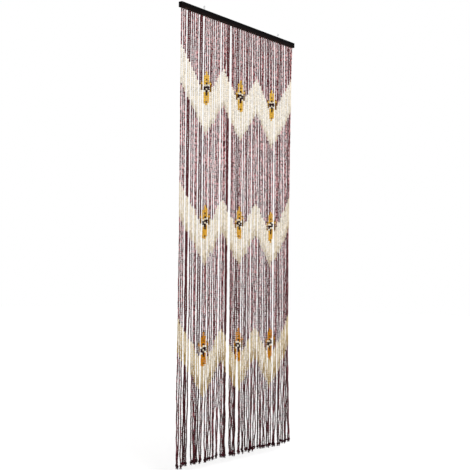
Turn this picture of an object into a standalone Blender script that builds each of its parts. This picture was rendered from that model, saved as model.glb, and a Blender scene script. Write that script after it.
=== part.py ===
"""A door curtain of wooden beads on strings, hung from a black wooden rail with two screw eyes.

Units are metres and +Z is up. The origin is the middle of the rail's top face, the curtain
hangs down from there, and its front faces -Y.
"""
import math
import random

import bmesh
import bpy

# Whole object
CURTAIN_NAME = "bead_door_curtain"
DROP = 2.004
GAP = 0.0003
MM = 0.001
WELD = 0.00001

# Rail
RAIL_LENGTH = 0.900
RAIL_DEPTH = 0.019
RAIL_HEIGHT = 0.024
RAIL_EDGE = 0.0012
EDGE_SEGMENTS = 2

# Backing strip in the groove under the rail
STRIP_DEPTH = 0.005
STRIP_HEIGHT = 0.003
STRIP_END = 0.003

# Strands
STRANDS = 61
PITCH = 0.0146
BEAD_WIDTH = 0.0072
STRING_WIDTH = 0.0012
BARE_STRING = 0.003
END_BEAD_WIDTH = 0.0115
END_BEAD_LENGTH = 0.011
END_TAPER = 0.0025
LEVELS = 14
END_LEVELS = 2
CLEAR_OF_NEXT = 0.0076
ENDS_CLEAR_OF_NEXT = 0.0118
CLEARING_PASSES = 60
HANG_SEED = 11

# Where the strands part: the strand left of the opening, counted from 0 (-1 is left of them all),
# and how far it opens, in millimetres, just under the rail, halfway down and at the lower ends.
# Less than 0 draws the strands together.
PARTING_COLUMNS = ("after_strand", "top", "middle", "low")
PARTINGS = (
    (-1, 0.0, 12.0, 0.0),
    (2, 6.0, 9.0, 13.0),
    (4, 2.0, 9.0, 2.0),
    (5, 0.0, 0.0, 21.0),
    (6, 2.0, 7.0, 0.0),
    (8, 6.0, 7.0, 0.0),
    (10, 10.0, 8.0, 5.0),
    (12, 0.0, -3.0, 13.0),
    (15, 0.0, 4.0, -2.0),
    (19, 5.0, 9.0, -4.0),
    (20, 0.0, 0.0, -10.0),
    (21, 0.0, 2.0, 5.0),
    (24, 8.0, 12.0, 21.0),
    (29, 3.0, -5.0, 25.0),
    (35, 0.0, 0.0, 3.0),
    (39, 3.0, 0.0, 1.0),
    (42, 0.0, 3.0, 0.0),
    (46, 0.0, 0.0, 7.0),
    (49, 3.0, 9.0, -2.0),
    (52, 0.0, 0.0, 15.0),
    (54, 1.0, 0.0, 3.0),
    (55, 6.0, 0.0, 3.0),
    (60, 3.0, 36.0, 6.0),
)
PARTING_REACH = 1.6

# How far a single strand wanders, as a spread in metres
LEAN = 0.0015
TUCK = 0.0010
STRAY = 0.0042
STRAY_FROM = 0.78
MOST_SPREADS = 1.5
SWAY = (0.0003, 0.0014)
SWAY_TURNS = (3.0, 5.5)
TUCKED_BY = 0.07
LENGTH_SPREAD = 0.007

# Screw eyes
EYE_ACROSS = {"eye_left": -0.281, "eye_right": 0.311}
EYE_WIRE = 0.0024
EYE_RING = 0.0120
EYE_RING_MIDDLE = 0.0140
EYE_SHANK_DEPTH = 0.0115
EYE_BEND_LENGTH = 0.0018
RING_FROM = math.radians(-70)
RING_TO = math.radians(237)
RING_STEPS = 20
BEND_STEPS = 3
WIRE_ROUNDNESS = 2
CREASE = math.radians(50)
HOLE_SIDES = 16


def clear_scene():
    """Empty the scene of whatever the start-up file holds."""
    for thing in list(bpy.data.objects):
        bpy.data.objects.remove(thing)


def new_collection(name):
    """Add a collection to the scene."""
    collection = bpy.data.collections.new(name)
    bpy.context.scene.collection.children.link(collection)
    return collection


def finish_material(name, colour, roughness, metallic=0.0):
    """A Principled material in one colour."""
    material = bpy.data.materials.new(name)
    material.use_nodes = True
    shader = material.node_tree.nodes["Principled BSDF"]
    shader.inputs["Base Color"].default_value = (*colour, 1.0)
    shader.inputs["Roughness"].default_value = roughness
    shader.inputs["Metallic"].default_value = metallic
    return material


def box(name, collection, size, middle):
    """A box of a given size with its middle at a given point."""
    mesh = bpy.data.meshes.new(name)
    shape = bmesh.new()
    bmesh.ops.create_cube(shape, size=1.0)
    bmesh.ops.scale(shape, vec=size, verts=shape.verts)
    shape.to_mesh(mesh)
    shape.free()
    thing = bpy.data.objects.new(name, mesh)
    thing.location = middle
    collection.objects.link(thing)
    return thing


def make_cutter(thing):
    """Hide a cutter from renders and show it as a wire."""
    thing.hide_render = True
    thing.display_type = "WIRE"


def cut(thing, cutter, operation="DIFFERENCE"):
    """Boolean one object with another."""
    modifier = thing.modifiers.new(cutter.name, "BOOLEAN")
    modifier.operation = operation
    modifier.solver = "EXACT"
    modifier.object = cutter


def tube(name, collection, runs, width, roundness):
    """A curve object of wires; each run is a list of (x, y, z, width factor)."""
    curve = bpy.data.curves.new(name, "CURVE")
    curve.dimensions = "3D"
    curve.twist_mode = "MINIMUM"
    curve.bevel_depth = width / 2
    curve.bevel_resolution = roundness
    curve.use_fill_caps = True
    for run in runs:
        spline = curve.splines.new("POLY")
        spline.points.add(len(run) - 1)
        for point, (x, y, z, factor) in zip(spline.points, run):
            point.co = (x, y, z, 1.0)
            point.radius = factor
    thing = bpy.data.objects.new(name, curve)
    collection.objects.link(thing)
    return thing


def as_mesh(thing, collection):
    """Turn a curve object into a closed mesh object of the same name."""
    name = thing.name
    bpy.context.view_layer.update()
    evaluated = thing.evaluated_get(bpy.context.evaluated_depsgraph_get())
    mesh = bpy.data.meshes.new_from_object(evaluated)
    place = thing.matrix_world.copy()
    bpy.data.objects.remove(thing)
    shape = bmesh.new()
    shape.from_mesh(mesh)
    bmesh.ops.remove_doubles(shape, verts=shape.verts, dist=WELD)
    bmesh.ops.recalc_face_normals(shape, faces=shape.faces)
    shape.to_mesh(mesh)
    shape.free()
    solid = bpy.data.objects.new(name, mesh)
    solid.matrix_world = place
    collection.objects.link(solid)
    return solid


def parting_shift(strand, fall):
    """How far the partings push a strand sideways, from the rail (0) to its lower end (1)."""
    shift = 0.0
    for row in PARTINGS:
        parting = dict(zip(PARTING_COLUMNS, row))
        if fall < 0.5:
            opening = parting["top"] + (parting["middle"] - parting["top"]) * fall * 2
        else:
            opening = parting["middle"] + (parting["low"] - parting["middle"]) * (fall * 2 - 1) ** 2
        away = strand - parting["after_strand"] - 0.5
        push = math.exp(-(abs(away) - 0.5) / PARTING_REACH)
        shift += math.copysign(push, away) * opening * MM / 2
    return shift


def bounded(draw, spread):
    """Draw a distance with a given spread, never far beyond it."""
    return spread * max(-MOST_SPREADS, min(MOST_SPREADS, draw.gauss(0, 1)))


def strand_habits():
    """Draw what sets each strand apart: its lean, tuck, stray, sway and length."""
    draw = random.Random(HANG_SEED)
    habits = []
    for _ in range(STRANDS):
        habits.append({
            "lean": draw.gauss(0, LEAN),
            "tuck": draw.gauss(0, TUCK),
            "stray": bounded(draw, STRAY),
            "stray_back": bounded(draw, STRAY),
            "sway": draw.uniform(*SWAY),
            "turns": draw.uniform(*SWAY_TURNS),
            "phase": draw.uniform(0, math.tau),
            "longer": draw.uniform(-LENGTH_SPREAD, LENGTH_SPREAD),
        })
    return habits


def free_place(strand, habit, fall):
    """Where a strand would hang at a level if it had no neighbours: across and back."""
    swing = habit["turns"] * math.tau * fall + habit["phase"]
    loose = max(0.0, (fall - STRAY_FROM) / (1 - STRAY_FROM)) ** 2
    across = (strand - (STRANDS - 1) / 2) * PITCH + parting_shift(strand, fall)
    across += habit["lean"] * fall + habit["sway"] * fall * math.sin(swing)
    across += habit["stray"] * loose
    back = habit["tuck"] * min(1.0, fall / TUCKED_BY) + habit["sway"] * fall * math.cos(swing)
    back += habit["stray_back"] * loose
    return across, back


def keep_apart(across, clear):
    """Push neighbouring strands aside until each clears the next."""
    across = list(across)
    for _ in range(CLEARING_PASSES):
        for strand in range(STRANDS - 1):
            short = clear - (across[strand + 1] - across[strand])
            if short > 0:
                across[strand] -= short / 2
                across[strand + 1] += short / 2
    return across


def hanging_levels():
    """For each level from the rail down, the place of every strand: fall, across and back."""
    habits = strand_habits()
    levels = []
    for step in range(LEVELS + 1):
        fall = step / LEVELS
        places = [free_place(k, habits[k], fall) for k in range(STRANDS)]
        low = step > LEVELS - END_LEVELS
        clear = ENDS_CLEAR_OF_NEXT if low else CLEAR_OF_NEXT
        across = keep_apart([place[0] for place in places], clear)
        back = [place[1] for place in places]
        levels.append((fall, across, back))
    return levels


def strand_run(strand, habit, levels):
    """One strand's points from inside the strip down to its end bead."""
    strip_middle = -RAIL_HEIGHT + STRIP_HEIGHT / 2
    start = -RAIL_HEIGHT - BARE_STRING
    end = -DROP + LENGTH_SPREAD + habit["longer"]
    string = STRING_WIDTH / BEAD_WIDTH
    run = []
    for fall, across, back in levels:
        run.append([across[strand], back[strand], start + (end - start) * fall, 1.0])
    first_across = levels[0][1][strand]
    head = [
        [first_across, 0.0, strip_middle, string],
        [first_across, 0.0, start + STRING_WIDTH, string],
    ]
    wide = END_BEAD_WIDTH / BEAD_WIDTH
    last_across, last_back = run[-1][:2]
    run[-1][2] = end + END_BEAD_LENGTH
    tail = [
        [last_across, last_back, end + END_BEAD_LENGTH - END_TAPER, wide],
        [last_across, last_back, end + END_TAPER, wide],
        [last_across, last_back, end, string],
    ]
    return head + run + tail


def build_rail(parts, cutters):
    """The bar, its groove underneath and the pilot holes of the screw eyes."""
    rail = box("rail", parts, (RAIL_LENGTH, RAIL_DEPTH, RAIL_HEIGHT), (0, 0, -RAIL_HEIGHT / 2))
    edges = rail.modifiers.new("eased edges", "BEVEL")
    edges.width = RAIL_EDGE
    edges.segments = EDGE_SEGMENTS
    edges.limit_method = "ANGLE"
    groove_size = (
        strip_length() + 2 * GAP,
        STRIP_DEPTH + 2 * GAP,
        2 * (STRIP_HEIGHT + GAP),
    )
    groove = box("groove", cutters, groove_size, (0, 0, -RAIL_HEIGHT))
    make_cutter(groove)
    cut(rail, groove)
    for name, across in EYE_ACROSS.items():
        hole = pilot_hole(name + "_hole", cutters, across)
        cut(rail, hole)
    rail.data.materials.append(finish_material("black painted wood", (0.010, 0.009, 0.009), 0.42))


def pilot_hole(name, cutters, across):
    """A round cutter for the hole that a screw eye's shank goes into."""
    mesh = bpy.data.meshes.new(name)
    shape = bmesh.new()
    radius = EYE_WIRE / 2 + GAP
    bmesh.ops.create_cone(
        shape, cap_ends=True, segments=HOLE_SIDES, radius1=radius, radius2=radius,
        depth=2 * (EYE_SHANK_DEPTH + GAP),
    )
    shape.to_mesh(mesh)
    shape.free()
    hole = bpy.data.objects.new(name, mesh)
    hole.location = (across, 0, 0)
    cutters.objects.link(hole)
    make_cutter(hole)
    return hole


def strip_length():
    """The backing strip reaches a little past the outer strands."""
    return (STRANDS - 1) * PITCH + 2 * STRIP_END + BEAD_WIDTH


def build_strands(parts, cutters):
    """All strands, fused at their roots into the strip in the rail's groove."""
    habits = strand_habits()
    levels = hanging_levels()
    runs = [strand_run(k, habits[k], levels) for k in range(STRANDS)]
    hanging = as_mesh(tube("hanging", cutters, runs, BEAD_WIDTH, roundness=0), cutters)
    make_cutter(hanging)
    strip_size = (strip_length(), STRIP_DEPTH, STRIP_HEIGHT)
    strip_middle = (0, 0, -RAIL_HEIGHT + STRIP_HEIGHT / 2)
    strands = box("bead_strands", parts, strip_size, strip_middle)
    cut(strands, hanging, "UNION")
    strands.data.materials.append(finish_material("dark wooden beads", (0.045, 0.016, 0.016), 0.45))


def eye_run():
    """A screw eye's wire from the shank's lower end round the ring, in the eye's own plane."""
    ring = (EYE_RING - EYE_WIRE) / 2
    start = (ring * math.cos(RING_FROM), ring * math.sin(RING_FROM))
    corner = (0.0, start[1] - start[0] / math.tan(-RING_FROM))
    shank_top = (0.0, corner[1] - EYE_BEND_LENGTH)
    points = [(0.0, -EYE_RING_MIDDLE - EYE_SHANK_DEPTH), shank_top]
    for step in range(1, BEND_STEPS):
        t = step / BEND_STEPS
        across = 2 * (1 - t) * t * corner[0] + t * t * start[0]
        up = (1 - t) ** 2 * shank_top[1] + 2 * (1 - t) * t * corner[1] + t * t * start[1]
        points.append((across, up))
    for step in range(RING_STEPS + 1):
        angle = RING_FROM + (RING_TO - RING_FROM) * step / RING_STEPS
        points.append((ring * math.cos(angle), ring * math.sin(angle)))
    return [(across, 0.0, EYE_RING_MIDDLE + up, 1.0) for across, up in points]


def build_eyes(parts):
    """The two screw eyes, each one bent wire."""
    steel = finish_material("bright zinc steel", (0.62, 0.62, 0.63), 0.28, metallic=1.0)
    for name, across in EYE_ACROSS.items():
        eye = as_mesh(tube(name, parts, [eye_run()], EYE_WIRE, WIRE_ROUNDNESS), parts)
        eye.location = (across, 0, 0)
        eye.data.materials.append(steel)
        eye.data.shade_smooth()
        eye.data.set_sharp_from_angle(angle=CREASE)


def main():
    """Build the curtain."""
    clear_scene()
    parts = new_collection(CURTAIN_NAME)
    cutters = new_collection("cutters")
    build_rail(parts, cutters)
    build_strands(parts, cutters)
    build_eyes(parts)
    bpy.context.view_layer.update()


main()
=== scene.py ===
"""Looks of a door curtain: wooden beads on strings, hung from a black wooden rail.

Units are metres and +Z is up. The rail's top face has the origin in its middle, and the
curtain's front faces -Y.
"""
import math
import random

import bmesh
import bpy
from bpy.props import FloatProperty, FloatVectorProperty, PointerProperty
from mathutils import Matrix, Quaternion, Vector


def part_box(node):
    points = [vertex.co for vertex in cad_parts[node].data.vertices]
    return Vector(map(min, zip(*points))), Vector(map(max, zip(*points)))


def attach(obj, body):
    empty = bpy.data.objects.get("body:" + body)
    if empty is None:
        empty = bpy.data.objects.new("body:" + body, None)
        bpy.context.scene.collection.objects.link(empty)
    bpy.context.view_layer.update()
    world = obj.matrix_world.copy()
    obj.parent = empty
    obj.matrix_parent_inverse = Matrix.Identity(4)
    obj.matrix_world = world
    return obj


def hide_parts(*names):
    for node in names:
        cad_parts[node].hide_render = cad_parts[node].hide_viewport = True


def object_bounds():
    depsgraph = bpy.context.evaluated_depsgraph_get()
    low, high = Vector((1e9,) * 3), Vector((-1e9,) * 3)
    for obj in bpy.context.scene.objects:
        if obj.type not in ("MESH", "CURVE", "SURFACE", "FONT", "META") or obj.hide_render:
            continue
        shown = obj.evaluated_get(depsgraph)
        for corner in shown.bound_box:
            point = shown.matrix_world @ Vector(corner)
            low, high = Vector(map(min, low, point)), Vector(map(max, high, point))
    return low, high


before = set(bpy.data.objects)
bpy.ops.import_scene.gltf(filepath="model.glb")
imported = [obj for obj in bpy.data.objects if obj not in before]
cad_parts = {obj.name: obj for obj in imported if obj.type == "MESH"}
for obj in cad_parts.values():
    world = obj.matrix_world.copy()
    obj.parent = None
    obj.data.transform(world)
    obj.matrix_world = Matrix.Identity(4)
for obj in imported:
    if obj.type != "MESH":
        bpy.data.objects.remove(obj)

bl_info = {
    "name": "Bead door curtain",
    "version": (1, 0, 0),
    "blender": (4, 5, 0),
    "location": "3D View > Sidebar > Bead curtain",
    "description": "Strings wooden beads into a patterned door curtain on a wooden rail",
    "category": "Add Mesh",
}

# The frame's own sizes
SOLID_BOX = [list(corner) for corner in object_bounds()]
RAIL_LOW, RAIL_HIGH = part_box("rail")
RAIL_HEIGHT = RAIL_HIGH.z - RAIL_LOW.z
LOWEST = SOLID_BOX[0][2]

# How the strands hang, as in the solids
DROP = 2.004
STRANDS = 61
PITCH = 0.0146
BARE_STRING = 0.003
LEVELS = 14
END_LEVELS = 2
CLEAR_OF_NEXT = 0.0076
ENDS_CLEAR_OF_NEXT = 0.0118
CLEARING_PASSES = 60
HANG_SEED = 11
MM = 0.001

# Gaps between strands, in millimetres: how far they open at the rail, halfway and at the ends
PARTING_COLUMNS = ("after_strand", "top", "middle", "low")
PARTINGS = (
    (-1, 0.0, 12.0, 0.0),
    (2, 6.0, 9.0, 13.0),
    (4, 2.0, 9.0, 2.0),
    (5, 0.0, 0.0, 21.0),
    (6, 2.0, 7.0, 0.0),
    (8, 6.0, 7.0, 0.0),
    (10, 10.0, 8.0, 5.0),
    (12, 0.0, -3.0, 13.0),
    (15, 0.0, 4.0, -2.0),
    (19, 5.0, 9.0, -4.0),
    (20, 0.0, 0.0, -10.0),
    (21, 0.0, 2.0, 5.0),
    (24, 8.0, 12.0, 21.0),
    (29, 3.0, -5.0, 25.0),
    (35, 0.0, 0.0, 3.0),
    (39, 3.0, 0.0, 1.0),
    (42, 0.0, 3.0, 0.0),
    (46, 0.0, 0.0, 7.0),
    (49, 3.0, 9.0, -2.0),
    (52, 0.0, 0.0, 15.0),
    (54, 1.0, 0.0, 3.0),
    (55, 6.0, 0.0, 3.0),
    (60, 3.0, 36.0, 6.0),
)
PARTING_REACH = 1.6

# Each strand's own lean, tuck, stray and sway, as the solids draw them
LEAN = 0.0015
TUCK = 0.0010
STRAY = 0.0042
STRAY_FROM = 0.78
MOST_SPREADS = 1.5
SWAY = (0.0003, 0.0014)
SWAY_TURNS = (3.0, 5.5)
TUCKED_BY = 0.07
LENGTH_SPREAD = 0.007

# Small waves of each string, which the solids leave out
WAVES = 3
WAVE_LENGTHS = (0.08, 0.22)
WAVES_START_BY = 0.08
WAVE_SHARES = (0.3, 0.8)
WAVES_GROW = 4
BEADS_CLEAR = 0.0071
BEAD_CLEARING_PASSES = 4
WAVE_SEED = 23

# How far a strand's beads slip up or down from their rows, as a spread in metres
ROW_SLIP = 0.005

# The pattern, in beads: zigzag bands of pale beads with a flower in each valley
ROWS = 233
VALLEY_STRANDS = (12, 30, 48)
ROWS_PER_STRAND = 2
BAND_COLUMNS = ("valley_row", "length", "flower_row", "tan_rows", "age")
BANDS = (
    (43, 20, 38, 3, 0.0),
    (114, 18, 109, 4, 0.3),
    (184, 17, 176, 6, 1.0),
)
FLOWER = (
    "...Y...",
    "...Y...",
    "..YYY..",
    "..YYY..",
    "..YOY..",
    "..YYYO.",
    ".OYKYY.",
    ".YWWWO.",
    ".OKKKO.",
    ".OKWKO.",
    ".OWKWO.",
    "..YKY..",
    "..YKY..",
    "..YYY..",
    "..YYY..",
    "..YYY..",
    "..YOY..",
    "...Y...",
)
FLOWER_LETTERS = {"Y": "ochre", "O": "olive", "K": "black", "W": "white"}

# How wide the beads of each kind are against the usual ones
GIRTHS = {
    "cream": 1.04, "tan": 1.08, "ochre": 1.45, "olive": 1.35, "black": 1.65, "white": 1.2,
}

# The ground's beads by height, from the rail (0) to the ends (1): how faded and how wide
FIELD_COLUMNS = ("fall", "fading", "girth")
FIELD = (
    (0.0, 1.1, 0.98),
    (0.22, 1.1, 0.98),
    (0.32, 1.55, 0.94),
    (0.48, 1.3, 0.95),
    (0.62, 1.05, 0.97),
    (0.80, 1.0, 0.97),
    (1.0, 1.0, 0.98),
)
FADED_RARITY = 2.0
FADING = (0.7, 1.5)
DARK_STRANDS = (3, 4, 9, 10, 23, 24, 28, 29, 34, 41, 46, 53, 58)
DARK_FADING = 0.12
DARK_GIRTH = 1.2
MOST_FADED = 1.2
TAN_SHARE = 0.35
TAN_SHARE_OF_AGE = 0.5
WEAKEST_STAIN = 0.25
GREEN_WARMTH = 0.02
BLUE_WARMTH = 0.07
COLOUR_SEED = 41

# Beads: strands to a piece, so that each piece stays light, and the form of each bead
STRANDS_A_PIECE = 11
BEAD_SIDES = 8
BEAD_RINGS = 3
BEAD_END_CURVE = 3.0
BEAD_BULGE = 0.8

# Lower ends: a large bead, and a knot with cut string ends
END_BEAD = {
    "Taper": 0.45, "Sides": 12, "Rings": 5, "Size spread": 0.05, "Tilt": math.radians(12), "Seed": 7,
}
END_SHADE_SPREAD = 0.35
KNOT_COPIES = {"Size spread": 0.12, "Seed": 3}
KNOT_LEAN = 0.25
KNOT_SHADE = 1.2
KNOT_RADIUS = 0.0030
KNOT_HEIGHT_SHARE = 0.8
KNOT_LOWERED = 0.0012
TAIL_SIDES = 5
TAIL_TOP_RADIUS = 0.0003
TAIL_END_RADIUS = 0.0020
TAIL_LEANS = (25, 55, 40, 62, 48)

# Strings, and the drilled strip in the groove that holds them
STRING_SIDES = 4
BEADS_TO_A_BEND = 4
STRING_ROOT = 0.0022
STRING_MOUTH = -0.001
STRIP_MIDDLE = 0.0016
STRIP = {"Depth": 0.005, "Height": 0.003, "Hole width": 0.0026}
STRIP_PAST_STRANDS = 0.0132
DRILL_SIDES = 10
DRILL_REACH = 3.0

# Screw eyes, as in the solids but with a rounder wire
EYES = {"eye_left": -0.281, "eye_right": 0.311}
EYE_WIRE = 0.0024
EYE_RING = 0.0120
EYE_RING_MIDDLE = 0.0140
EYE_SHANK_SHOWN = 0.0042
EYE_BEND_LENGTH = 0.0018
RING_FROM = math.radians(-70)
RING_TO = math.radians(237)
RING_STEPS = 44
BEND_STEPS = 6
EYE_SIDES = 14
EYE_SHARP_ANGLE = math.radians(50)

# Rubbed paint at the rail's edges, by distance from the edge
RUBBED_FROM = 0.0016
RUBBED_FULLY = 0.0004

# Where Blender lists the looks
COLLECTION = "bead curtain looks"

# What each point of a shape can carry: the attribute's type and the field that holds it
CARRIED = {
    "along": ("FLOAT_VECTOR", "vector"), "bead_colour": ("FLOAT_COLOR", "color"),
    "girth": ("FLOAT", "value"),
}

# How nodes are laid out in Blender's editor
NODES_A_ROW = 12
NODE_SPACING = (180, -260)

# Camera and floor
SENSOR_WIDTH = 36.0
FAR_CLIP = 100.0
FLOOR_REACH = 20.0


def size_setting(name, about, value, least, most):
    """A length that the panel can change."""
    return FloatProperty(
        name=name, description=about, default=value, min=least, max=most, precision=4, unit="LENGTH",
    )


def share_setting(name, about, value, most):
    """A share that the panel can change."""
    return FloatProperty(name=name, description=about, default=value, min=0.0, max=most, subtype="FACTOR")


def strength_setting(name, about, value, most):
    """A light's strength that the panel can change."""
    return FloatProperty(name=name, description=about, default=value, min=0.0, max=most)


def angle_setting(name, about, degrees):
    """An angle that the panel can change."""
    return FloatProperty(name=name, description=about, default=math.radians(degrees), subtype="ANGLE")


def colour_setting(name, about, value):
    """A colour that the panel can change."""
    return FloatVectorProperty(
        name=name, description=about, subtype="COLOR", default=value, min=0.0, max=1.0,
    )


class StrandSettings(bpy.types.PropertyGroup):
    """Sizes of the beads and strings."""

    bead_width: size_setting("Bead width", "Width of a bead at its middle", 0.0072, 0.002, 0.012)
    bead_length: size_setting("Bead length", "Length of a bead along its string", 0.0083, 0.003, 0.020)
    bead_taper: share_setting("Bead taper", "How much narrower a bead is at its ends", 0.26, 0.8)
    size_spread: share_setting("Size spread", "How unequal the hand-cut beads are", 0.07, 0.3)
    bead_tilt: angle_setting("Bead tilt", "How far a bead leans on its string", 8)
    bead_jog: size_setting("Bead jog", "How far a bead sits off its string's line", 0.0005, 0.0, 0.002)
    wave_top: size_setting("Waves at the top", "Height of small waves near the rail", 0.0003, 0.0, 0.005)
    wave_low: size_setting("Waves at the end", "Height of small waves at the end", 0.0014, 0.0, 0.005)
    string_width: size_setting("String width", "Thickness of the twisted string", 0.0012, 0.0004, 0.004)
    end_width: size_setting("End bead width", "Width of a strand's last bead", 0.0120, 0.003, 0.020)
    end_length: size_setting("End bead length", "Length of a strand's last bead", 0.011, 0.004, 0.030)
    tail_length: size_setting("Tail length", "Length of the cut string ends", 0.0095, 0.001, 0.014)


class ColourSettings(bpy.types.PropertyGroup):
    """Colours of the wood, string and metal."""

    dark: colour_setting("Dark beads", "Deepest ground, near the rail", (0.088, 0.006, 0.010))
    dark_low: colour_setting("Dark beads, low", "Deepest ground, at the ends", (0.024, 0.002, 0.003))
    faded: colour_setting("Faded beads", "Palest ground, near the rail", (0.560, 0.250, 0.252))
    faded_low: colour_setting("Faded beads, low", "Palest ground, at the ends", (0.115, 0.018, 0.028))
    cream: colour_setting("Pale beads", "Zigzag bands, near the rail", (0.92, 0.83, 0.69))
    cream_low: colour_setting("Pale beads, low", "Zigzag bands, at the lowest band", (0.60, 0.47, 0.28))
    tan: colour_setting("Tan beads", "Last beads of a pale band", (0.36, 0.235, 0.08))
    ochre: colour_setting("Ochre beads", "Flowers of the top band", (0.80, 0.47, 0.06))
    ochre_low: colour_setting("Ochre beads, low", "Flowers of the lowest band", (0.54, 0.20, 0.004))
    olive: colour_setting("Olive beads", "Outer beads of a flower", (0.22, 0.10, 0.003))
    black: colour_setting("Black beads", "Dark beads in a flower's middle", (0.020, 0.002, 0.003))
    white: colour_setting("White beads", "White beads in a flower's middle", (0.80, 0.70, 0.52))
    end_bead: colour_setting("End beads", "Large beads at the lower ends", (0.020, 0.002, 0.004))
    string: colour_setting("String", "Bare string under the rail", (0.66, 0.53, 0.38))
    paint: colour_setting("Rail paint", "Black paint of the rail", (0.0020, 0.0016, 0.0018))
    # Painted light from below: a lighter, browner paint for the rail's underside and lower sides
    underlit_paint: colour_setting("Underlit paint", "Painted light from below, on the underside and low on the sides", (0.010, 0.0045, 0.0045))
    worn: colour_setting("Worn edge", "Bare wood at the rail's rubbed edges", (0.075, 0.042, 0.026))
    zinc: colour_setting("Zinc", "Plating of the screw eyes", (0.60, 0.61, 0.63))
    floor: colour_setting("Floor", "Pale floor and backdrop", (0.50, 0.50, 0.50))


class StageSettings(bpy.types.PropertyGroup):
    """Camera and light."""

    camera_place: FloatVectorProperty(
        name="Camera place", description="Where the camera stands", subtype="XYZ",
        unit="LENGTH", default=(-3.658, -2.655, -1.213),
    )
    bright_side: FloatVectorProperty(
        name="Bright side's direction", description="Where the room is brightest", subtype="XYZ",
        default=(-0.30, -0.80, 0.52),
    )
    camera_azimuth: angle_setting("Camera azimuth", "Turn from a look along +Y", -53.79)
    camera_pitch: angle_setting("Camera pitch", "How far the camera looks up", 2.78)
    camera_roll: angle_setting("Camera roll", "Turn of the camera about its own line of sight", 0.584)
    camera_view: angle_setting("Camera view", "Angle of view from edge to edge", 27.17)
    floor_gap: size_setting("Floor gap", "Height of the strands' ends over the floor", 0.035, 0.01, 1.0)
    room_bright: strength_setting("Bright side", "Light from the room's bright side", 0.93, 5.0)
    room_dim: strength_setting("Dim side", "Light from the room's dim side", 0.20, 5.0)
    key_strength: strength_setting("Key light", "Broad light from the bright side", 1.5, 20.0)
    key_breadth: angle_setting("Key breadth", "How wide the broad light looks from the curtain", 24)
    floor_glow: strength_setting("Floor glow", "Light that keeps the floor even", 0.60, 2.0)


class Nodes:
    """Adds nodes to one tree and joins them."""

    def __init__(self, tree):
        self.tree = tree

    def add(self, kind, inputs=None, **settings):
        """Add a node; inputs maps a socket's name or number to a value or another socket."""
        made = self.tree.nodes.new(kind)
        row, column = divmod(len(self.tree.nodes), NODES_A_ROW)
        made.location = (NODE_SPACING[0] * column, NODE_SPACING[1] * row)
        for name, value in settings.items():
            setattr(made, name, value)
        self.feed(made, inputs or {})
        return made

    def feed(self, node, inputs):
        """Give inputs a value each, or join them to other nodes' outputs."""
        for name, value in inputs.items():
            if isinstance(value, bpy.types.NodeSocket):
                self.tree.links.new(value, node.inputs[name])
            else:
                node.inputs[name].default_value = value

    def number(self, operation, *values):
        """The result of a Math node."""
        return self.add("ShaderNodeMath", dict(enumerate(values)), operation=operation).outputs[0]

    def times(self, first, second):
        """The product of two numbers."""
        return self.number("MULTIPLY", first, second)

    def scaled(self, vector, factor):
        """A vector times a number."""
        made = self.add("ShaderNodeVectorMath", {"Vector": vector, "Scale": factor}, operation="SCALE")
        return made.outputs["Vector"]


def parting_shift(strand, fall):
    """How far the partings push a strand sideways, from the rail (0) to its lower end (1)."""
    shift = 0.0
    for row in PARTINGS:
        parting = dict(zip(PARTING_COLUMNS, row))
        if fall < 0.5:
            opening = parting["top"] + (parting["middle"] - parting["top"]) * fall * 2
        else:
            opening = parting["middle"] + (parting["low"] - parting["middle"]) * (fall * 2 - 1) ** 2
        away = strand - parting["after_strand"] - 0.5
        push = math.exp(-(abs(away) - 0.5) / PARTING_REACH)
        shift += math.copysign(push, away) * opening * MM / 2
    return shift


def bounded(draw, spread):
    """Draw a distance with a given spread, never far beyond it."""
    return spread * max(-MOST_SPREADS, min(MOST_SPREADS, draw.gauss(0, 1)))


def strand_habits():
    """Draw what sets each strand apart: its lean, tuck, stray, sway and length."""
    draw = random.Random(HANG_SEED)
    habits = []
    for _ in range(STRANDS):
        habits.append({
            "lean": draw.gauss(0, LEAN),
            "tuck": draw.gauss(0, TUCK),
            "stray": bounded(draw, STRAY),
            "stray_back": bounded(draw, STRAY),
            "sway": draw.uniform(*SWAY),
            "turns": draw.uniform(*SWAY_TURNS),
            "phase": draw.uniform(0, math.tau),
            "longer": draw.uniform(-LENGTH_SPREAD, LENGTH_SPREAD),
        })
    return habits


def free_place(strand, habit, fall):
    """Where a strand would hang at a level if it had no neighbours: across and back."""
    swing = habit["turns"] * math.tau * fall + habit["phase"]
    loose = max(0.0, (fall - STRAY_FROM) / (1 - STRAY_FROM)) ** 2
    across = (strand - (STRANDS - 1) / 2) * PITCH + parting_shift(strand, fall)
    across += habit["lean"] * fall + habit["sway"] * fall * math.sin(swing)
    across += habit["stray"] * loose
    back = habit["tuck"] * min(1.0, fall / TUCKED_BY) + habit["sway"] * fall * math.cos(swing)
    back += habit["stray_back"] * loose
    return across, back


def keep_apart(across, clear):
    """Push neighbouring strands aside until each clears the next."""
    across = list(across)
    for _ in range(CLEARING_PASSES):
        for strand in range(STRANDS - 1):
            short = clear - (across[strand + 1] - across[strand])
            if short > 0:
                across[strand] -= short / 2
                across[strand + 1] += short / 2
    return across


def hanging_levels():
    """For each strand, where it hangs at each level from the rail down: across and back."""
    habits = strand_habits()
    across_levels, back_levels = [], []
    for step in range(LEVELS + 1):
        places = [free_place(k, habits[k], step / LEVELS) for k in range(STRANDS)]
        clear = ENDS_CLEAR_OF_NEXT if step > LEVELS - END_LEVELS else CLEAR_OF_NEXT
        across_levels.append(keep_apart([place[0] for place in places], clear))
        back_levels.append([place[1] for place in places])
    return list(zip(*across_levels)), list(zip(*back_levels))


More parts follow.
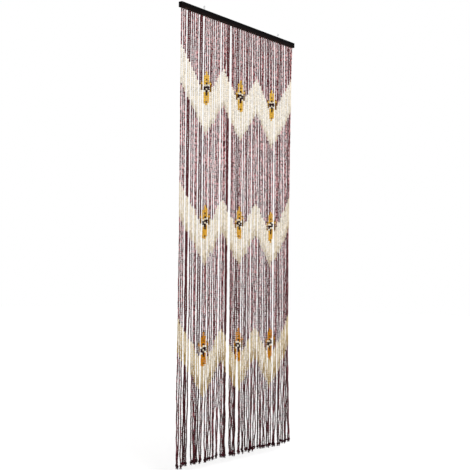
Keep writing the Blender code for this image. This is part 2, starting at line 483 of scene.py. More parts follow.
def between_levels(levels, fall):
    """Read one strand's levels at any height, on a smooth curve through them."""
    place = min(max(fall, 0.0), 1.0) * LEVELS
    step = min(int(place), LEVELS - 1)
    u = place - step
    here, there = levels[step], levels[step + 1]
    slope_here = (there - levels[max(step - 1, 0)]) / 2
    slope_there = (levels[min(step + 2, LEVELS)] - here) / 2
    return (
        here * (2 * u**3 - 3 * u**2 + 1) + there * (3 * u**2 - 2 * u**3)
        + slope_here * (u**3 - 2 * u**2 + u) + slope_there * (u**3 - u**2)
    )


def string_waves(draw):
    """Draw one string's small waves: length, phase and share of the height."""
    return [
        (draw.uniform(*WAVE_LENGTHS), draw.uniform(0, math.tau), draw.uniform(*WAVE_SHARES))
        for _ in range(WAVES)
    ]


def wave_offset(waves, depth):
    """How far the small waves carry a string aside at a depth, for waves of height 1."""
    return sum(share * math.sin(math.tau * depth / length + phase) for length, phase, share in waves)


def clear_beads(row):
    """Move the beads of one row apart, where two of them would share the same space."""
    for _ in range(BEAD_CLEARING_PASSES):
        for left, right in zip(row, row[1:]):
            back = right[1] - left[1]
            room = math.sqrt(max(0.0, BEADS_CLEAR**2 - back**2))
            short = room - (right[0] - left[0])
            if short > 0:
                left[0] -= short / 2
                right[0] += short / 2


def strand_points(sizes):
    """Middles of all beads: for each strand its rows from the rail down, then its end bead."""
    habits = strand_habits()
    across_levels, back_levels = hanging_levels()
    draw = random.Random(WAVE_SEED)
    first = -RAIL_HEIGHT - BARE_STRING
    strands = []
    for strand, habit in enumerate(habits):
        side_waves, back_waves = string_waves(draw), string_waves(draw)
        end = -DROP + LENGTH_SPREAD + habit["longer"]
        last = end + sizes.end_length
        slip = draw.gauss(0, ROW_SLIP)
        heights = []
        for row in range(ROWS):
            share = (row + 0.5) / ROWS
            heights.append(first + (last - first) * share + slip * math.sin(math.pi * share))
        heights.append(end + sizes.end_length / 2)
        points = []
        for height in heights:
            fall = (first - height) / (first - end)
            depth = first - height
            wave = sizes.wave_top + (sizes.wave_low - sizes.wave_top) * fall**WAVES_GROW
            wave *= min(1.0, depth / WAVES_START_BY)
            points.append([
                between_levels(across_levels[strand], fall) + wave * wave_offset(side_waves, depth),
                between_levels(back_levels[strand], fall) + wave * wave_offset(back_waves, depth),
                height,
            ])
        strands.append(points)
    for row in range(ROWS):
        clear_beads([points[row] for points in strands])
    return strands


def bead_directions(points):
    """The way the string runs through each bead of a strand."""
    directions = []
    for row in range(len(points)):
        above = Vector(points[max(row - 1, 0)])
        below = Vector(points[min(row + 1, len(points) - 1)])
        directions.append((above - below).normalized())
    return directions


def bead_kind(strand, row):
    """Which colour the pattern gives a bead, and how aged the dye of its band is."""
    away = min((strand - valley for valley in VALLEY_STRANDS), key=abs)
    for values in BANDS:
        band = dict(zip(BAND_COLUMNS, values))
        chart_row = row - band["flower_row"] + len(FLOWER) // 2
        chart_strand = away + len(FLOWER[0]) // 2
        if 0 <= chart_row < len(FLOWER) and 0 <= chart_strand < len(FLOWER[0]):
            letter = FLOWER[chart_row][chart_strand]
            if letter in FLOWER_LETTERS:
                return FLOWER_LETTERS[letter], band["age"]
        into_band = row - band["valley_row"] + ROWS_PER_STRAND * abs(away)
        if 0 <= into_band < band["length"]:
            kind = "tan" if into_band >= band["length"] - band["tan_rows"] else "cream"
            return kind, band["age"]
    return "dark", 0.0


def field_value(name, fall):
    """Read a column of the field's table at a height, from the rail (0) to the ends (1)."""
    rows = [dict(zip(FIELD_COLUMNS, values)) for values in FIELD]
    for upper, lower in zip(rows, rows[1:]):
        if fall <= lower["fall"]:
            share = (fall - upper["fall"]) / (lower["fall"] - upper["fall"])
            return upper[name] + (lower[name] - upper[name]) * share
    return rows[-1][name]


def bead_girth(strand, row):
    """How wide a bead is against the usual ones."""
    kind = bead_kind(strand, row)[0]
    girth = field_value("girth", row / ROWS)
    if strand in DARK_STRANDS:
        girth *= DARK_GIRTH
    return GIRTHS.get(kind, girth)


def mixed(first, second, share):
    """A colour between two others."""
    return [a + (b - a) * share for a, b in zip(first, second)]


def bead_colour(colours, strand, row, fading, draw):
    """The stain of one bead, as red, green and blue; the ground's beads are also darker towards the ends.
    """
    kind, age = bead_kind(strand, row)
    if kind == "dark":
        # The ground grows darker towards the ends
        low = (row / ROWS) ** 2
        deep = mixed(colours.dark, colours.dark_low, low)
        faded = mixed(colours.faded, colours.faded_low, low)
        fading *= field_value("fading", row / ROWS)
        return mixed(deep, faded, min(MOST_FADED, fading * draw.random() ** FADED_RARITY))
    if kind in ("cream", "tan"):
        stain = mixed(colours.cream, colours.cream_low, age)
        if kind == "tan":
            stain = mixed(stain, colours.tan, TAN_SHARE + TAN_SHARE_OF_AGE * age)
    elif kind == "ochre":
        stain = mixed(colours.ochre, colours.ochre_low, age)
    else:
        stain = getattr(colours, kind)
    warmth = draw.uniform(-1, 1)
    strength = 1 - WEAKEST_STAIN * draw.random() ** 3
    shift = (1.0, 1 - GREEN_WARMTH * warmth, 1 - BLUE_WARMTH * warmth)
    return [min(1.0, part * strength * turn) for part, turn in zip(stain, shift)]


def new_object(name, data):
    """A new object, in the collection that holds what this file makes."""
    collection = bpy.data.collections.get(COLLECTION)
    if collection is None:
        collection = bpy.data.collections.new(COLLECTION)
        bpy.context.scene.collection.children.link(collection)
    made = bpy.data.objects.new(name, data)
    collection.objects.link(made)
    return made


def new_shape(name, points, edges=()):
    """An object of loose points, or of points joined in lines, for a node tree to work on."""
    mesh = bpy.data.meshes.new(name)
    mesh.from_pydata(points, list(edges), [])
    return new_object(name, mesh)


def new_shape_tree(name, numbers, counts=(), models=()):
    """A node tree for shapes, with a named input for each number, count and model."""
    tree = bpy.data.node_groups.new(name, "GeometryNodeTree")
    kinds = {
        "NodeSocketGeometry": ("Geometry",), "NodeSocketFloat": numbers, "NodeSocketInt": counts,
        "NodeSocketObject": models, "NodeSocketMaterial": ("Finish",),
    }
    for kind, labels in kinds.items():
        for label in labels:
            tree.interface.new_socket(name=label, in_out="INPUT", socket_type=kind)
    tree.interface.new_socket(name="Geometry", in_out="OUTPUT", socket_type="NodeSocketGeometry")
    nodes = Nodes(tree)
    return nodes, nodes.add("NodeGroupInput").outputs


def close_tree(nodes, geometry, finish):
    """End a tree: its copies are made real and take their finish."""
    real = nodes.add("GeometryNodeRealizeInstances", {"Geometry": geometry})
    dressed = nodes.add("GeometryNodeSetMaterial", {"Geometry": real.outputs[0], "Material": finish})
    nodes.add("NodeGroupOutput", {"Geometry": dressed.outputs[0]})
    return nodes.tree


def run_tree(shape, tree, values):
    """Run a tree on an object and leave a plain mesh object of the same name."""
    modifier = shape.modifiers.new(tree.name, "NODES")
    modifier.node_group = tree
    for item in tree.interface.items_tree:
        if item.in_out == "INPUT" and item.name in values:
            modifier[item.identifier] = values[item.name]
    bpy.context.view_layer.update()
    evaluated = shape.evaluated_get(bpy.context.evaluated_depsgraph_get())
    mesh = bpy.data.meshes.new_from_object(evaluated)
    name = shape.name
    bpy.data.objects.remove(shape)
    if not mesh.polygons:
        raise RuntimeError(f"{name} came out empty")
    mesh.name = name
    return new_object(name, mesh)


def bead_shape(nodes, given):
    """One barrel bead along Z, with its ends drawn in."""
    bead = nodes.add("GeometryNodeMeshCylinder", {
        "Vertices": given["Sides"], "Side Segments": given["Rings"],
        "Radius": nodes.times(given["Width"], 0.5), "Depth": given["Length"],
    }, fill_type="NGON")
    smooth = nodes.add("GeometryNodeSetShadeSmooth", {0: bead.outputs["Mesh"], 1: bead.outputs["Side"]})
    part = nodes.add("ShaderNodeSeparateXYZ", {0: nodes.add("GeometryNodeInputPosition").outputs[0]})
    half = nodes.times(given["Length"], 0.5)
    height = nodes.number("DIVIDE", nodes.number("ABSOLUTE", part.outputs["Z"]), half)
    curve = nodes.number("POWER", height, BEAD_END_CURVE)
    width = nodes.number("SUBTRACT", 1.0, nodes.times(given["Taper"], curve))
    bulge = nodes.times(BEAD_BULGE, nodes.number("SUBTRACT", 1.0, height))
    stretch = nodes.number("ADD", 1.0, bulge)
    place = nodes.add("ShaderNodeCombineXYZ", {
        "X": nodes.times(part.outputs["X"], width),
        "Y": nodes.times(part.outputs["Y"], width),
        "Z": nodes.times(part.outputs["Z"], stretch),
    })
    # How near each point lies to the bead's end; the finish paints shade by it
    marked = nodes.add("GeometryNodeStoreNamedAttribute", {
        "Geometry": smooth.outputs[0], "Name": "bead_end", "Value": height,
    }, data_type="FLOAT", domain="POINT")
    shaped = nodes.add("GeometryNodeSetPosition", {
        "Geometry": marked.outputs[0], "Position": place.outputs[0],
    })
    return shaped.outputs[0]


def bead_turn(nodes, given):
    """How each bead is turned: along its string, at any spin, and leaning a little."""
    along = nodes.add(
        "GeometryNodeInputNamedAttribute", {"Name": "along"}, data_type="FLOAT_VECTOR"
    ).outputs["Attribute"]
    aligned = nodes.add("FunctionNodeAlignRotationToVector", {"Vector": along}, axis="Z")
    most = nodes.add("ShaderNodeCombineXYZ", {
        "X": given["Tilt"], "Y": given["Tilt"], "Z": math.pi,
    }).outputs[0]
    turn = nodes.add("FunctionNodeRandomValue", {
        0: nodes.scaled(most, -1.0), 1: most, "Seed": given["Seed"],
    }, data_type="FLOAT_VECTOR").outputs[0]
    by = nodes.add("FunctionNodeEulerToRotation", {0: turn}).outputs[0]
    turned = nodes.add("FunctionNodeRotateRotation", {
        "Rotation": aligned.outputs[0], "Rotate By": by,
    }, rotation_space="LOCAL")
    return turned.outputs[0]


def bead_scale(nodes, given):
    """How unequal the beads are, as a scale on each axis."""
    least = nodes.number("SUBTRACT", 1.0, nodes.times(given["Size spread"], 2.0))
    unequal = nodes.add("FunctionNodeRandomValue", {
        2: least, 3: 1.0, "Seed": given["Seed"],
    }, data_type="FLOAT").outputs[1]
    girth = nodes.add("GeometryNodeInputNamedAttribute", {"Name": "girth"}, data_type="FLOAT")
    width = nodes.times(unequal, girth.outputs["Attribute"])
    length = nodes.add("FunctionNodeRandomValue", {
        2: nodes.number("SUBTRACT", 1.0, given["Size spread"]), 3: 1.0,
        "Seed": nodes.number("ADD", given["Seed"], 1.0),
    }, data_type="FLOAT").outputs[1]
    return nodes.add("ShaderNodeCombineXYZ", {"X": width, "Y": width, "Z": length}).outputs[0]


def bead_tree():
    """The tree that threads a bead onto each point of a strand."""
    nodes, given = new_shape_tree(
        "Threaded beads", ("Width", "Length", "Taper", "Size spread", "Tilt"), ("Sides", "Rings", "Seed")
    )
    threaded = nodes.add("GeometryNodeInstanceOnPoints", {
        "Points": given["Geometry"], "Instance": bead_shape(nodes, given),
        "Rotation": bead_turn(nodes, given), "Scale": bead_scale(nodes, given),
    })
    return close_tree(nodes, threaded.outputs[0], given["Finish"])


def wire_tree():
    """The tree that runs a round wire or string along each line."""
    nodes, given = new_shape_tree("Round wire", ("Width",), ("Sides",))
    line = nodes.add("GeometryNodeMeshToCurve", {"Mesh": given["Geometry"]})
    section = nodes.add("GeometryNodeCurvePrimitiveCircle", {
        "Resolution": given["Sides"], "Radius": nodes.times(given["Width"], 0.5),
    }, mode="RADIUS")
    wire = nodes.add("GeometryNodeCurveToMesh", {
        "Curve": line.outputs[0], "Profile Curve": section.outputs[0], "Fill Caps": True,
    })
    return close_tree(nodes, wire.outputs[0], given["Finish"])


def copies_tree():
    """The tree that sets a copy of one object at each point, at any spin."""
    nodes, given = new_shape_tree("Spun copies", ("Size spread",), ("Seed",), ("Model",))
    model = nodes.add("GeometryNodeObjectInfo", {"Object": given["Model"]})
    spin = nodes.add("FunctionNodeRandomValue", {
        0: (-KNOT_LEAN, -KNOT_LEAN, -math.pi), 1: (KNOT_LEAN, KNOT_LEAN, math.pi),
        "Seed": given["Seed"],
    }, data_type="FLOAT_VECTOR").outputs[0]
    turned = nodes.add("FunctionNodeEulerToRotation", {0: spin}).outputs[0]
    copies = nodes.add("GeometryNodeInstanceOnPoints", {
        "Points": given["Geometry"], "Instance": model.outputs["Geometry"],
        "Rotation": turned, "Scale": bead_scale(nodes, given),
    })
    return close_tree(nodes, copies.outputs[0], given["Finish"])


def drilled_tree():
    """The tree that drills a round hole through a bar at each point."""
    nodes, given = new_shape_tree(
        "Drilled bar", ("Length", "Depth", "Height", "Hole width", "Bar height")
    )
    size = nodes.add("ShaderNodeCombineXYZ", {
        "X": given["Length"], "Y": given["Depth"], "Z": given["Height"],
    })
    bar = nodes.add("GeometryNodeMeshCube", {"Size": size.outputs[0]})
    lift = nodes.add("ShaderNodeCombineXYZ", {"Z": given["Bar height"]})
    placed = nodes.add("GeometryNodeTransform", {
        "Geometry": bar.outputs[0], "Translation": lift.outputs[0],
    })
    drill = nodes.add("GeometryNodeMeshCylinder", {
        "Vertices": DRILL_SIDES, "Radius": nodes.times(given["Hole width"], 0.5),
        "Depth": nodes.times(given["Height"], DRILL_REACH),
    }, fill_type="NGON")
    drills = nodes.add("GeometryNodeInstanceOnPoints", {
        "Points": given["Geometry"], "Instance": drill.outputs["Mesh"],
    })
    cutters = nodes.add("GeometryNodeRealizeInstances", {"Geometry": drills.outputs[0]})
    drilled = nodes.add("GeometryNodeMeshBoolean", {
        "Mesh 1": placed.outputs[0], "Mesh 2": cutters.outputs[0],
    }, operation="DIFFERENCE", solver="EXACT")
    return close_tree(nodes, drilled.outputs["Mesh"], given["Finish"])


def new_finish(name):
    """A material with its Principled shader, and its nodes."""
    material = bpy.data.materials.new(name)
    material.use_nodes = True
    nodes = Nodes(material.node_tree)
    return material, nodes, material.node_tree.nodes["Principled BSDF"]


def streaks(nodes, stretch, detail=4.0):
    """Noise drawn out along one axis, from the object's own coordinates."""
    place = nodes.add("ShaderNodeTexCoord").outputs["Object"]
    drawn = nodes.add("ShaderNodeMapping", {"Vector": place, "Scale": stretch}).outputs[0]
    noise = nodes.add("ShaderNodeTexNoise", {"Vector": drawn, "Scale": 1.0, "Detail": detail})
    return noise.outputs["Fac"]


def remap(nodes, value, onto, span=(0.3, 0.7), way="SMOOTHSTEP"):
    """A value moved from one range to another, smoothly at both ends or evenly."""
    made = nodes.add("ShaderNodeMapRange", {
        "Value": value, "From Min": span[0], "From Max": span[1], "To Min": onto[0], "To Max": onto[1],
    }, interpolation_type=way)
    return made.outputs["Result"]


def blended(nodes, share, first, second):
    """Two colours mixed by a share."""
    made = nodes.add("ShaderNodeMix", {"Factor": share, 6: first, 7: second}, data_type="RGBA")
    return made.outputs[2]


def bumped(nodes, height, depth, strength):
    """A surface normal from heights."""
    return nodes.add("ShaderNodeBump", {
        "Height": height, "Distance": depth, "Strength": strength,
    }).outputs["Normal"]


def bead_finish():
    """Dyed, varnished wood, in the colour that each bead carries, with grain along the bead and painted
    shade darkening its ends, where it meets the next bead.
    """
    material, nodes, shader = new_finish("varnished_bead_wood")
    stain = nodes.add("ShaderNodeAttribute", attribute_name="bead_colour").outputs["Color"]
    end = nodes.add("ShaderNodeAttribute", attribute_name="bead_end").outputs["Fac"]
    grain = streaks(nodes, stretch=(1500.0, 1500.0, 170.0))
    cloud = streaks(nodes, stretch=(420.0, 420.0, 260.0), detail=2.0)
    grain_shade = remap(nodes, grain, span=(0.35, 0.68), onto=(0.74, 1.16))
    light = nodes.times(grain_shade, remap(nodes, cloud, onto=(0.86, 1.12)))
    # Painted shade: each bead grows darker towards its ends, where it meets the next bead
    rim = remap(nodes, end, span=(0.72, 1.0), onto=(1.0, 0.40))
    nodes.feed(shader, {
        "Base Color": nodes.scaled(stain, nodes.times(light, rim)),
        "Roughness": remap(nodes, cloud, onto=(0.34, 0.50)),
        "Normal": bumped(nodes, grain, depth=0.00012, strength=0.6),
        "Specular IOR Level": 0.06, "Coat Weight": 0.04, "Coat Roughness": 0.14,
    })
    return material


def string_finish(colours):
    """Twisted string, its turns shown as slanting ridges."""
    material, nodes, shader = new_finish("twisted_string")
    place = nodes.add("ShaderNodeTexCoord").outputs["Object"]
    slant = nodes.add("ShaderNodeMapping", {"Vector": place, "Rotation": (0.0, 0.6, 0.0)}).outputs[0]
    twist = nodes.add("ShaderNodeTexWave", {
        "Vector": slant, "Scale": 420.0, "Distortion": 0.6, "Detail": 1.0,
    }, bands_direction="Z").outputs["Fac"]
    fuzz = streaks(nodes, stretch=(2600.0, 2600.0, 900.0))
    twist_shade = remap(nodes, twist, span=(0.0, 1.0), onto=(0.66, 1.08))
    shade = nodes.times(twist_shade, remap(nodes, fuzz, onto=(0.85, 1.1)))
    nodes.feed(shader, {
        "Base Color": nodes.scaled(tuple(colours.string), shade),
        "Normal": bumped(nodes, twist, depth=0.0002, strength=0.7),
        "Roughness": 0.88, "Sheen Weight": 0.2,
    })
    return material


def rail_finish(colours):
    """Black paint on wood, rubbed at the edges, with painted light from below: lighter, browner paint on
    the underside and low on the sides.
    """
    material, nodes, shader = new_finish("black_painted_wood")
    place = nodes.add("ShaderNodeTexCoord").outputs["Object"]
    part = nodes.add("ShaderNodeSeparateXYZ", {0: place})
    grain = streaks(nodes, stretch=(14.0, 900.0, 900.0), detail=6.0)
    patch = streaks(nodes, stretch=(55.0, 160.0, 160.0), detail=3.0)
    height = part.outputs["Z"]
    # Painted light from below: the underside and the lower part of the sides get a lighter, browner paint
    under = remap(nodes, height, span=(RAIL_LOW.z + 0.0002, RAIL_LOW.z + 0.0018), onto=(1.0, 0.0))
    half = RAIL_HEIGHT / 2
    off_side = nodes.number("ABSOLUTE", part.outputs["Y"])
    off_middle = nodes.number("ABSOLUTE", nodes.number("ADD", height, half))
    side_span = (RAIL_HIGH.y - RUBBED_FROM, RAIL_HIGH.y - RUBBED_FULLY)
    near_side = remap(nodes, off_side, span=side_span, onto=(0.0, 1.0))
    near_top = remap(nodes, off_middle, span=(half - RUBBED_FROM, half - RUBBED_FULLY), onto=(0.0, 1.0))
    edge = nodes.times(near_side, near_top)
    rubbed = nodes.times(edge, remap(nodes, patch, span=(0.50, 0.66), onto=(0.0, 0.8)))
    lower_span = (RAIL_LOW.z, RAIL_LOW.z + RAIL_HEIGHT * 0.6)
    lower_part = remap(nodes, height, span=lower_span, onto=(0.5, 0.0))
    painted_underlight = nodes.number("MAXIMUM", nodes.times(under, 0.9), lower_part)
    coated = blended(nodes, painted_underlight, (*colours.paint, 1.0), (*colours.underlit_paint, 1.0))
    paint = blended(nodes, rubbed, coated, (*colours.worn, 1.0))
    nodes.feed(shader, {
        "Base Color": nodes.scaled(paint, remap(nodes, grain, onto=(0.75, 1.3))),
        "Roughness": remap(nodes, patch, onto=(0.42, 0.58)),
        "Normal": bumped(nodes, grain, depth=0.00015, strength=0.5),
        "Specular IOR Level": 0.03,
    })
    return material


def zinc_finish(colours):
    """Bright zinc plating, a little cloudy."""
    material, nodes, shader = new_finish("zinc_plated_steel")
    cloud = streaks(nodes, stretch=(700.0, 700.0, 700.0))
    shade = remap(nodes, cloud, onto=(0.82, 1.08))
    nodes.feed(shader, {
        "Base Color": nodes.scaled(tuple(colours.zinc), shade),
        "Roughness": remap(nodes, cloud, onto=(0.22, 0.38)),
        "Normal": bumped(nodes, cloud, depth=0.00005, strength=0.4),
        "Metallic": 1.0,
    })
    return material


def floor_finish(colours, glow):
    """Matt, nearly even floor, lit a little from inside."""
    material, nodes, shader = new_finish("pale_floor")
    cloud = streaks(nodes, stretch=(0.7, 0.7, 0.7), detail=2.0)
    shade = remap(nodes, cloud, onto=(0.99, 1.01))
    nodes.feed(shader, {
        "Base Color": nodes.scaled(tuple(colours.floor), shade), "Roughness": 0.9,
        "Emission Color": (1.0, 1.0, 1.0, 1.0), "Emission Strength": glow,
    })
    return material


def hand_over(piece, slot, *nodes):
    """Make a finished piece ride on the curtain, in place of the solids that it stands for."""
    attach(piece, "root")
    if nodes:
        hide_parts(*nodes)


def hang_copies(name, points, carried, tree, values):
    """Run a tree on points that carry values, and hand over the beads or knots that it makes."""
    shape = new_shape(name, points)
    for label, rows in carried.items():
        kind, field = CARRIED[label]
        attribute = shape.data.attributes.new(label, kind, "POINT")
        attribute.data.foreach_set(field, [part for row in rows for part in row])
    hand_over(run_tree(shape, tree, values), "bead_wood", "bead_strands")


def knot_model(tail_length):
    """A knot with its cut string ends, hanging down from the origin."""
    mesh = bpy.data.meshes.new("knot")
    shape = bmesh.new()
    knot = bmesh.ops.create_icosphere(shape, subdivisions=1, radius=KNOT_RADIUS)
    bmesh.ops.scale(shape, vec=(1.0, 1.0, KNOT_HEIGHT_SHARE), verts=knot["verts"])
    for number, lean in enumerate(TAIL_LEANS):
        tail = bmesh.ops.create_cone(
            shape, cap_ends=True, segments=TAIL_SIDES, radius1=TAIL_TOP_RADIUS,
            radius2=TAIL_END_RADIUS, depth=tail_length,
        )
        spin = Quaternion((0, 0, 1), number * math.tau / len(TAIL_LEANS))
        turn = spin @ Quaternion((0, 1, 0), math.radians(lean))
        for corner in tail["verts"]:
            corner.co = turn @ (corner.co - Vector((0, 0, tail_length / 2)))
    for corner in shape.verts:
        corner.co.z -= KNOT_LOWERED
    shape.to_mesh(mesh)
    shape.free()
    mesh.shade_smooth()
    return new_object("knot", mesh)


def eye_line():
    """A screw eye's wire from its shank round the ring, in the plane across the rail."""
    ring = (EYE_RING - EYE_WIRE) / 2
    start = (ring * math.cos(RING_FROM), ring * math.sin(RING_FROM))
    corner = (0.0, start[1] - start[0] / math.tan(-RING_FROM))
    shank_top = (0.0, corner[1] - EYE_BEND_LENGTH)
    points = [(0.0, -EYE_RING_MIDDLE - EYE_SHANK_SHOWN), shank_top]
    for step in range(1, BEND_STEPS):
        t = step / BEND_STEPS
        across = 2 * (1 - t) * t * corner[0] + t * t * start[0]
        up = (1 - t) ** 2 * shank_top[1] + 2 * (1 - t) * t * corner[1] + t * t * start[1]
        points.append((across, up))
    for step in range(RING_STEPS + 1):
        angle = RING_FROM + (RING_TO - RING_FROM) * step / RING_STEPS
        points.append((ring * math.cos(angle), ring * math.sin(angle)))
    return points


class CURTAIN_OT_thread_beads(bpy.types.Operator):
    """Thread the patterned beads onto all strands"""

    bl_idname = "bead_curtain.thread_beads"
    bl_label = "Thread the beads"

    def execute(self, context):
        sizes = context.scene.curtain_strands
        colours = context.scene.curtain_colours
        strands = strand_points(sizes)
        draw = random.Random(COLOUR_SEED)
        stains = []
        for k in range(STRANDS):
            fading = DARK_FADING if k in DARK_STRANDS else draw.uniform(*FADING)
            stains.append([bead_colour(colours, k, row, fading, draw) for row in range(ROWS)])
        tree = bead_tree()
        finish = bead_finish()
        for first in range(0, STRANDS, STRANDS_A_PIECE):
            members = range(first, min(first + STRANDS_A_PIECE, STRANDS))
            points, directions, colour_rows, girths = [], [], [], []
            for k in members:
                for point in strands[k][:ROWS]:
                    jog = Vector((draw.uniform(-1, 1), draw.uniform(-1, 1), 0.0)) * sizes.bead_jog
                    points.append(Vector(point) + jog)
                directions.extend(bead_directions(strands[k])[:ROWS])
                colour_rows.extend((*stain, 1.0) for stain in stains[k])
                girths.extend([bead_girth(k, row)] for row in range(ROWS))
            carried = {"along": directions, "bead_colour": colour_rows, "girth": girths}
            hang_copies(f"beads_{first + 1:02d}_to_{members[-1] + 1:02d}", points, carried, tree, {
                "Width": sizes.bead_width, "Length": sizes.bead_length, "Taper": sizes.bead_taper,
                "Sides": BEAD_SIDES, "Rings": BEAD_RINGS, "Size spread": sizes.size_spread,
                "Tilt": sizes.bead_tilt, "Seed": first, "Finish": finish,
            })
        return {"FINISHED"}


class CURTAIN_OT_end_strands(bpy.types.Operator):
    """End each strand with a large bead and a knot"""

    bl_idname = "bead_curtain.end_strands"
    bl_label = "End the strands"

    def execute(self, context):
        sizes = context.scene.curtain_strands
        colours = context.scene.curtain_colours
        ends = [points[-1] for points in strand_points(sizes)]
        draw = random.Random(COLOUR_SEED)
        finish = bead_finish()
        girths = [[1.0]] * STRANDS
        stains = []
        for _ in ends:
            shade = math.exp(draw.gauss(0, END_SHADE_SPREAD))
            stains.append((*(part * shade for part in colours.end_bead), 1.0))
        carried = {"along": [(0.0, 0.0, 1.0)] * STRANDS, "bead_colour": stains, "girth": girths}
        hang_copies("end_beads", ends, carried, bead_tree(), {
            **END_BEAD, "Width": sizes.end_width, "Length": sizes.end_length, "Finish": finish,
        })
        under = [(x, y, z - sizes.end_length / 2) for x, y, z in ends]
        stain = (*(part * KNOT_SHADE for part in colours.end_bead), 1.0)
        carried = {"bead_colour": [stain] * STRANDS, "girth": girths}
        model = knot_model(sizes.tail_length)
        hang_copies("end_knots", under, carried, copies_tree(), {
            **KNOT_COPIES, "Model": model, "Finish": finish,
        })
        bpy.data.objects.remove(model)
        return {"FINISHED"}


class CURTAIN_OT_run_strings(bpy.types.Operator):
    """Run the strings from the rail through the beads"""

    bl_idname = "bead_curtain.run_strings"
    bl_label = "Run the strings"

    def execute(self, context):
        sizes = context.scene.curtain_strands
        points, edges = [], []
        for strand in strand_points(sizes):
            root = (strand[0][0], 0.0, RAIL_LOW.z + STRING_ROOT)
            mouth = (strand[0][0], 0.0, RAIL_LOW.z + STRING_MOUTH)
            line = [root, mouth, *strand[0:ROWS:BEADS_TO_A_BEND], strand[-1]]
            first = len(points)
            points.extend(line)
            edges.extend((first + step, first + step + 1) for step in range(len(line) - 1))
        finish = string_finish(context.scene.curtain_colours)
        strings = run_tree(new_shape("strings", points, edges), wire_tree(), {
            "Width": sizes.string_width, "Sides": STRING_SIDES, "Finish": finish,
        })
        hand_over(strings, "bead_wood", "bead_strands")
        return {"FINISHED"}


class CURTAIN_OT_finish_rail(bpy.types.Operator):
    """Paint the rail and fill its groove with the drilled strip"""

    bl_idname = "bead_curtain.finish_rail"
    bl_label = "Finish the rail"

    def execute(self, context):
        sizes = context.scene.curtain_strands
        finish = rail_finish(context.scene.curtain_colours)
        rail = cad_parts["rail"]
        rail.data.materials.clear()
        rail.data.materials.append(finish)
        middle = RAIL_LOW.z + STRIP_MIDDLE
        roots = [(points[0][0], 0.0, middle) for points in strand_points(sizes)]
        strip = run_tree(new_shape("string_strip", roots), drilled_tree(), {
            **STRIP, "Length": (STRANDS - 1) * PITCH + STRIP_PAST_STRANDS,
            "Bar height": middle, "Finish": finish,
        })
        hand_over(strip, "black_wood", "bead_strands")
        return {"FINISHED"}


class CURTAIN_OT_bend_eyes(bpy.types.Operator):
    """Bend the two screw eyes from round wire"""

    bl_idname = "bead_curtain.bend_eyes"
    bl_label = "Bend the screw eyes"

    def execute(self, context):
        finish = zinc_finish(context.scene.curtain_colours)
        tree = wire_tree()
        for node, across in EYES.items():
            line = [(across + x, 0.0, EYE_RING_MIDDLE + up) for x, up in eye_line()]
            edges = [(step, step + 1) for step in range(len(line) - 1)]
            eye = run_tree(new_shape(node + "_wire", line, edges), tree, {
                "Width": EYE_WIRE, "Sides": EYE_SIDES, "Finish": finish,
            })
            eye.data.shade_smooth()
            eye.data.set_sharp_from_angle(angle=EYE_SHARP_ANGLE)
            hand_over(eye, "steel", node)
        return {"FINISHED"}


class CURTAIN_OT_set_stage(bpy.types.Operator):
    """Set the camera, the floor and the lights"""

    bl_idname = "bead_curtain.set_stage"
    bl_label = "Set the stage"

    def execute(self, context):
        stage = context.scene.curtain_stage
        add_camera(stage)
        add_floor(stage, context.scene.curtain_colours)
        add_key_light(stage)
        light_room(stage)
        context.scene.view_settings.view_transform = "Standard"
        return {"FINISHED"}


def add_camera(stage):
    """The camera at the place and angle of the picture."""
    data = bpy.data.cameras.new("camera")
    data.sensor_width = SENSOR_WIDTH
    data.lens = data.sensor_width / 2 / math.tan(stage.camera_view / 2)
    data.clip_end = FAR_CLIP
    camera = new_object("camera", data)
    level = math.cos(stage.camera_pitch)
    forward = Vector((
        -math.sin(stage.camera_azimuth) * level,
        math.cos(stage.camera_azimuth) * level,
        math.sin(stage.camera_pitch),
    ))
    turn = forward.to_track_quat("-Z", "Y") @ Quaternion((0, 0, 1), stage.camera_roll)
    camera.rotation_mode = "QUATERNION"
    camera.rotation_quaternion = turn
    camera.location = stage.camera_place
    bpy.context.scene.camera = camera


def add_floor(stage, colours):
    """A wide floor a little under the strands' ends."""
    mesh = bpy.data.meshes.new("floor")
    shape = bmesh.new()
    bmesh.ops.create_grid(shape, x_segments=1, y_segments=1, size=FLOOR_REACH)
    for corner in shape.verts:
        corner.co.z = LOWEST - stage.floor_gap
    shape.to_mesh(mesh)
    shape.free()
    mesh.materials.append(floor_finish(colours, stage.floor_glow))
    floor = new_object("floor", mesh)
    floor.visible_glossy = False


def add_key_light(stage):
    """One broad soft light, even from the rail to the floor."""
    data = bpy.data.lights.new("key_light", "SUN")
    data.energy = stage.key_strength
    data.angle = stage.key_breadth
    light = new_object("key_light", data)
    light.rotation_euler = Vector(stage.bright_side).to_track_quat("Z", "Y").to_euler()


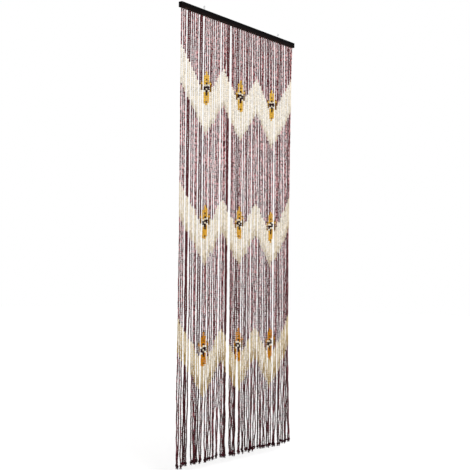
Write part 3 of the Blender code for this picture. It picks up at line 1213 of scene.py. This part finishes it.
def light_room(stage):
    """Even light from all round, in front of a white backdrop."""
    world = bpy.data.worlds.new("white room")
    world.use_nodes = True
    nodes = Nodes(world.node_tree)
    world.node_tree.nodes.clear()
    way = nodes.add("ShaderNodeTexCoord").outputs["Generated"]
    bright_side = Vector(stage.bright_side).normalized()
    facing = nodes.add("ShaderNodeVectorMath", {0: way, 1: bright_side}, operation="DOT_PRODUCT")
    sides = (stage.room_dim, stage.room_bright)
    lit = remap(nodes, facing.outputs["Value"], onto=sides, span=(-1.0, 1.0), way="LINEAR")
    seen = nodes.add("ShaderNodeLightPath").outputs["Is Camera Ray"]
    strength = remap(nodes, seen, onto=(lit, 1.0), span=(0.0, 1.0), way="LINEAR")
    room = nodes.add("ShaderNodeBackground", {"Color": (1.0, 1.0, 1.0, 1.0), "Strength": strength})
    nodes.add("ShaderNodeOutputWorld", {"Surface": room.outputs[0]})
    bpy.context.scene.world = world


class CURTAIN_PT_panel(bpy.types.Panel):
    """Lists the curtain's steps and settings"""

    bl_idname = "CURTAIN_PT_panel"
    bl_label = "Bead curtain"
    bl_space_type = "VIEW_3D"
    bl_region_type = "UI"
    bl_category = "Bead curtain"

    def draw(self, context):
        column = self.layout.column(align=True)
        for step in STEPS:
            column.operator(step.bl_idname)
        scene = context.scene
        for group in (scene.curtain_strands, scene.curtain_colours, scene.curtain_stage):
            box = self.layout.box()
            for name in group.__annotations__:
                box.prop(group, name)


GROUPS = (StrandSettings, ColourSettings, StageSettings)
STEPS = (
    CURTAIN_OT_set_stage,
    CURTAIN_OT_finish_rail,
    CURTAIN_OT_bend_eyes,
    CURTAIN_OT_run_strings,
    CURTAIN_OT_thread_beads,
    CURTAIN_OT_end_strands,
)


def register():
    """Make the settings, steps and panel known to Blender."""
    for kind in (*GROUPS, *STEPS, CURTAIN_PT_panel):
        bpy.utils.register_class(kind)
    bpy.types.Scene.curtain_strands = PointerProperty(type=StrandSettings)
    bpy.types.Scene.curtain_colours = PointerProperty(type=ColourSettings)
    bpy.types.Scene.curtain_stage = PointerProperty(type=StageSettings)


def unregister():
    """Take them away again."""
    del bpy.types.Scene.curtain_stage
    del bpy.types.Scene.curtain_colours
    del bpy.types.Scene.curtain_strands
    for kind in reversed((*GROUPS, *STEPS, CURTAIN_PT_panel)):
        bpy.utils.unregister_class(kind)


def main():
    """Build all looks in order."""
    register()
    bpy.ops.bead_curtain.set_stage()
    bpy.ops.bead_curtain.finish_rail()
    bpy.ops.bead_curtain.bend_eyes()
    bpy.ops.bead_curtain.run_strings()
    bpy.ops.bead_curtain.thread_beads()
    bpy.ops.bead_curtain.end_strands()


if __name__ == "__main__":
    main()
